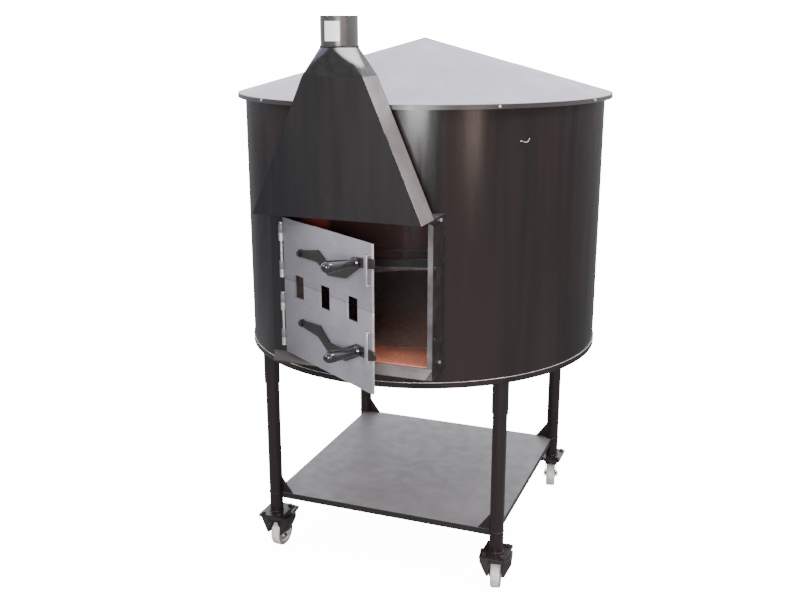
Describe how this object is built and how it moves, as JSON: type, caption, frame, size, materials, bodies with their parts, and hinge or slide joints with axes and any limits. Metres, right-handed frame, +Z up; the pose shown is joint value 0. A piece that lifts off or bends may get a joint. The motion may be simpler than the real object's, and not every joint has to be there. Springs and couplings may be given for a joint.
{
  "type": "wood fired pizza oven",
  "caption": "Free-standing wheeled wood fired oven: black steel drum with conical lid, split stable door under a tapered smoke hood with flue collar, tube stand with log shelf.",
  "frame": {"origin": "on the floor under the centre of the whole oven's outline, door standing open", "axes": "+Z up, the door faces -Y, +X to the right as seen by someone facing the door"},
  "size_m": [1.157, 1.4927, 1.692],
  "materials": {
    "drum_paint": "gloss black enamel",
    "lid_paint": "gloss black enamel",
    "hood_paint": "satin black",
    "frame_steel": "bare dark plate steel, soot stained",
    "door_steel": "bare hot-rolled plate",
    "bright_steel": "bare steel, slightly pink temper",
    "leg_paint": "semi-gloss black",
    "shelf_paint": "grey-black sheet",
    "grip_plastic": "gloss black phenolic",
    "zinc": "zinc plated",
    "caster_black": "black",
    "wheel_tread": "pale grey moulding",
    "hearth_stone": "fired hearth tile",
    "terracotta": "orange clay tile",
    "refractory": "cast refractory",
    "insulation": "ceramic fibre blanket",
    "floor_board": "insulating board"
  },
  "bodies": {
    "oven": {"drum_shell": "drum_paint", "drum_base": "drum_paint", "lid": "lid_paint", "mouth_lintel": "frame_steel", "jamb_left": "frame_steel", "jamb_right": "frame_steel", "frame_sill": "frame_steel", "frame_head": "frame_steel", "ash_lip": "frame_steel", "hood_front": "hood_paint", "hood_sides": "hood_paint", "hood_back": "hood_paint", "hood_transition": "hood_paint", "flue_collar": "hood_paint", "hood_tabs": "bright_steel", "frame_bolts": "zinc", "hinge_pins": "bright_steel", "frame_knuckles": "bright_steel", "latch_keepers": "bright_steel", "hearth_disc": "hearth_stone", "mouth_tiles": "terracotta", "chamber_wall": "refractory", "chamber_roof": "refractory", "mouth_lining": "frame_steel", "wall_insulation": "insulation", "floor_insulation": "floor_board", "roof_insulation": "insulation", "leg_sleeves": "leg_paint", "leg_front_left": "leg_paint", "leg_front_right": "leg_paint", "leg_back_left": "leg_paint", "leg_back_right": "leg_paint", "shelf": "shelf_paint", "shelf_gussets": "leg_paint", "caster_plates": "caster_black", "caster_bolts": "zinc"},
    "lower_door": {"lower_leaf": "door_steel", "lower_guide": "bright_steel", "lower_pivot": "bright_steel"},
    "lower_latch": {"lower_lever": "door_steel", "lower_grip": "grip_plastic"},
    "upper_door": {"upper_leaf": "door_steel", "upper_guide": "bright_steel", "upper_pivot": "bright_steel"},
    "upper_latch": {"upper_lever": "door_steel", "upper_grip": "grip_plastic"},
    "caster_front_left": {"fork_front_left": "caster_black", "axle_front_left": "zinc"},
    "wheel_front_left": {"wheel_front_left": "wheel_tread"},
    "brake_front_left": {"pedal_front_left": "caster_black"},
    "caster_front_right": {"fork_front_right": "caster_black", "axle_front_right": "zinc"},
    "wheel_front_right": {"wheel_front_right": "wheel_tread"},
    "brake_front_right": {"pedal_front_right": "caster_black"},
    "caster_back_left": {"fork_back_left": "caster_black", "axle_back_left": "zinc"},
    "wheel_back_left": {"wheel_back_left": "wheel_tread"},
    "caster_back_right": {"fork_back_right": "caster_black", "axle_back_right": "zinc"},
    "wheel_back_right": {"wheel_back_right": "wheel_tread"}
  },
  "joints": [
    {"name": "lower_door_hinge", "type": "hinge", "parent": "oven", "child": "lower_door", "pos_m": [-0.2017, -0.437, 0.858], "axis": [0, 0, 1], "range_deg": [-117, 33]},
    {"name": "upper_door_hinge", "type": "hinge", "parent": "oven", "child": "upper_door", "pos_m": [-0.2017, -0.437, 1.055], "axis": [0, 0, 1], "range_deg": [-117, 33]},
    {"name": "lower_latch_pivot", "type": "hinge", "parent": "lower_door", "child": "lower_latch", "pos_m": [-0.11285, -0.50031, 0.884], "axis": [-0.5446, -0.8387, 0], "range_deg": [-0.6, 7.2]},
    {"name": "upper_latch_pivot", "type": "hinge", "parent": "upper_door", "child": "upper_latch", "pos_m": [-0.11285, -0.50031, 1.079], "axis": [-0.5446, -0.8387, 0], "range_deg": [-7.2, 0.6]},
    {"name": "swivel_front_left", "type": "hinge", "parent": "oven", "child": "caster_front_left", "pos_m": [-0.372, -0.206, 0.12], "axis": [0, 0, 1], "continuous": true},
    {"name": "roll_front_left", "type": "hinge", "parent": "caster_front_left", "child": "wheel_front_left", "pos_m": [-0.36949, -0.18213, 0.045], "axis": [-0.9945, 0.1045, 0], "continuous": true},
    {"name": "brake_front_left", "type": "hinge", "parent": "caster_front_left", "child": "brake_front_left", "pos_m": [-0.36677, -0.15627, 0.099], "axis": [-0.9945, 0.1045, 0], "range_deg": [0, 12]},
    {"name": "swivel_front_right", "type": "hinge", "parent": "oven", "child": "caster_front_right", "pos_m": [0.372, -0.206, 0.12], "axis": [0, 0, 1], "continuous": true},
    {"name": "roll_front_right", "type": "hinge", "parent": "caster_front_right", "child": "wheel_front_right", "pos_m": [0.36742, -0.18244, 0.045], "axis": [-0.9816, -0.1908, 0], "continuous": true},
    {"name": "brake_front_right", "type": "hinge", "parent": "caster_front_right", "child": "brake_front_right", "pos_m": [0.36246, -0.15692, 0.099], "axis": [-0.9816, -0.1908, 0], "range_deg": [0, 12]},
    {"name": "swivel_back_left", "type": "hinge", "parent": "oven", "child": "caster_back_left", "pos_m": [-0.372, 0.55, 0.12], "axis": [0, 0, 1], "continuous": true},
    {"name": "roll_back_left", "type": "hinge", "parent": "caster_back_left", "child": "wheel_back_left", "pos_m": [-0.37575, 0.57371, 0.045], "axis": [-0.9877, -0.1564, 0], "continuous": true},
    {"name": "swivel_back_right", "type": "hinge", "parent": "oven", "child": "caster_back_right", "pos_m": [0.372, 0.55, 0.12], "axis": [0, 0, 1], "continuous": true},
    {"name": "roll_back_right", "type": "hinge", "parent": "caster_back_right", "child": "wheel_back_right", "pos_m": [0.36717, 0.57351, 0.045], "axis": [-0.9796, -0.2011, 0], "continuous": true}
  ]
}
